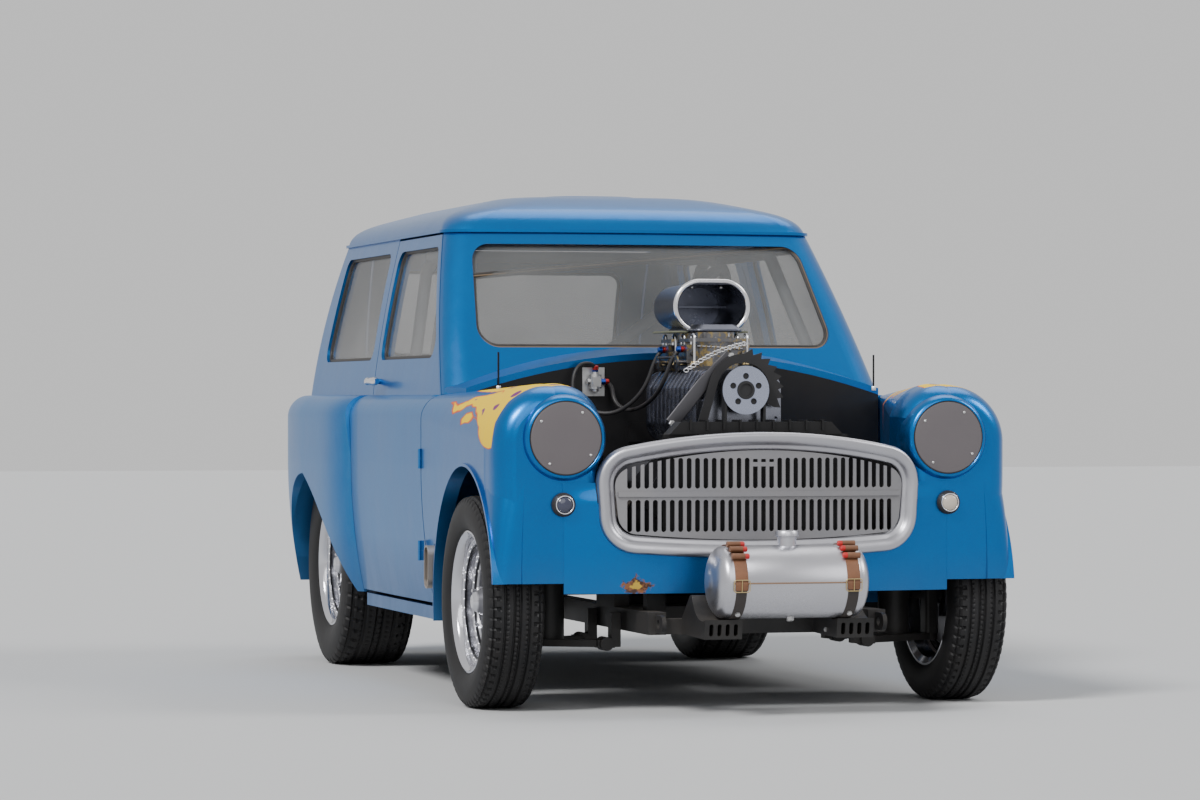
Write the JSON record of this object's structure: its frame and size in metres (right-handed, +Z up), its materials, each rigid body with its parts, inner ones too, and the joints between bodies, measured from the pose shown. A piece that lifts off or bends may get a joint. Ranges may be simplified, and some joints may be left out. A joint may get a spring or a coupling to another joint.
{
  "type": "drag racing car",
  "caption": "Small two-door estate turned drag car: open engine bay, blown V8 with air scoop, cylindrical fuel tank ahead of a slotted oval grille.",
  "frame": {"origin": "on the floor under the middle of the car's length and width", "axes": "+Z up, +Y to the rear, +X to the car's left"},
  "size_m": [1.6932, 3.48, 1.57],
  "materials": {
    "body_paint": "metallic blue, gloss",
    "underbody": "satin black underseal",
    "bay_black": "satin black",
    "polished_alloy": "polished",
    "grille_alloy": "dulled cast alloy",
    "lamp_cover": "tinted flat cover",
    "lamp_lens": "clear lens in a chrome ring",
    "red_lens": "red lens",
    "window_glass": "clear window glass",
    "engine_iron": "painted cast iron",
    "regulator_metal": "plated steel on a light bracket",
    "braided_hose": "black braided hose",
    "brass_zinc": "zinc-plated carburettor bodies",
    "scoop_alloy": "dark polished alloy with a bright lip",
    "exhaust_steel": "heat-stained steel",
    "tank_alloy": "polished spun alloy",
    "strap_leather": "brown leather",
    "chassis_black": "satin black with road grime",
    "seat_vinyl": "black vinyl",
    "cage_paint": "grey painted tube",
    "dash_black": "matt black",
    "wheel_alloy": "polished spun alloy",
    "tyre_rubber": "black tyre rubber"
  },
  "bodies": {
    "body": {"floor_pan": "underbody", "scuttle": "body_paint", "roof_panel": "body_paint", "quarter_left": "body_paint", "quarter_right": "body_paint", "tail_valance": "body_paint", "wing_left": "body_paint", "wing_right": "body_paint", "nose_valance": "body_paint", "engine_bay": "bay_black", "grille_frame": "polished_alloy", "grille_slats": "grille_alloy", "headlamp_covers": "lamp_cover", "parking_lamps": "lamp_lens", "tail_lamps": "red_lens", "fixed_glass": "window_glass", "engine_block": "engine_iron", "supercharger": "polished_alloy", "carburettors": "brass_zinc", "air_scoop": "scoop_alloy", "blower_drive": "polished_alloy", "radiator": "bay_black", "exhaust_headers": "exhaust_steel", "belt_guard": "dash_black", "fuel_regulator": "regulator_metal", "fuel_hose_rear": "braided_hose", "fuel_hose_front": "braided_hose", "fuel_tank": "tank_alloy", "tank_straps": "strap_leather", "front_frame": "chassis_black", "front_suspension": "chassis_black", "rear_suspension": "chassis_black", "seats": "seat_vinyl", "roll_cage": "cage_paint", "dashboard": "dash_black"},
    "door_left": {"door_left": "body_paint", "door_glass_left": "window_glass"},
    "door_right": {"door_right": "body_paint", "door_glass_right": "window_glass"},
    "tailgate": {"tailgate": "body_paint", "tailgate_glass": "window_glass"},
    "knuckle_left": {"knuckle_left": "chassis_black"},
    "knuckle_right": {"knuckle_right": "chassis_black"},
    "wheel_front_left": {"rim_front_left": "wheel_alloy", "tyre_front_left": "tyre_rubber"},
    "wheel_front_right": {"rim_front_right": "wheel_alloy", "tyre_front_right": "tyre_rubber"},
    "wheel_rear_left": {"rim_rear_left": "wheel_alloy", "tyre_rear_left": "tyre_rubber"},
    "wheel_rear_right": {"rim_rear_right": "wheel_alloy", "tyre_rear_right": "tyre_rubber"},
    "steering_rack": {"steering_rack": "chassis_black"},
    "steering_wheel": {"steering_wheel": "dash_black"}
  },
  "joints": [
    {"name": "door_left_hinge", "type": "hinge", "parent": "body", "child": "door_left", "pos_m": [0.791, -0.44, 0.7], "axis": [0, 0, -1], "range_deg": [0, 65]},
    {"name": "door_right_hinge", "type": "hinge", "parent": "body", "child": "door_right", "pos_m": [-0.791, -0.44, 0.7], "axis": [0, 0, 1], "range_deg": [0, 65]},
    {"name": "tailgate_hinge", "type": "hinge", "parent": "body", "child": "tailgate", "pos_m": [-0.503, 1.731, 0.7], "axis": [0, 0, 1], "range_deg": [0, 100]},
    {"name": "steer_left", "type": "hinge", "parent": "body", "child": "knuckle_left", "pos_m": [0.65, -1.015, 0.31], "axis": [0, 0, 1], "range_deg": [-25, 25]},
    {"name": "steer_right", "type": "hinge", "parent": "body", "child": "knuckle_right", "pos_m": [-0.65, -1.015, 0.31], "axis": [0, 0, 1], "range_deg": [-25, 25]},
    {"name": "spin_front_left", "type": "hinge", "parent": "knuckle_left", "child": "wheel_front_left", "pos_m": [0.705, -1.015, 0.31], "axis": [1, 0, 0], "continuous": true},
    {"name": "spin_front_right", "type": "hinge", "parent": "knuckle_right", "child": "wheel_front_right", "pos_m": [-0.705, -1.015, 0.31], "axis": [1, 0, 0], "continuous": true},
    {"name": "spin_rear_left", "type": "hinge", "parent": "body", "child": "wheel_rear_left", "pos_m": [0.635, 1.119, 0.34], "axis": [1, 0, 0], "continuous": true},
    {"name": "spin_rear_right", "type": "hinge", "parent": "body", "child": "wheel_rear_right", "pos_m": [-0.635, 1.119, 0.34], "axis": [1, 0, 0], "continuous": true},
    {"name": "rack_slide", "type": "slide", "parent": "body", "child": "steering_rack", "axis": [1, 0, 0], "range_m": [-0.057, 0.057]},
    {"name": "steering_wheel_turn", "type": "hinge", "parent": "body", "child": "steering_wheel", "pos_m": [-0.34, 0.005, 0.905], "axis": [0, 0.8829, 0.4695], "range_deg": [-301, 301]}
  ],
  "couplings": [
    {"joint": "steer_right", "follows": "steer_left", "ratio": 1},
    {"joint": "rack_slide", "follows": "steer_left", "m_per_rad": -0.13},
    {"joint": "steering_wheel_turn", "follows": "steer_left", "ratio": 12}
  ]
}
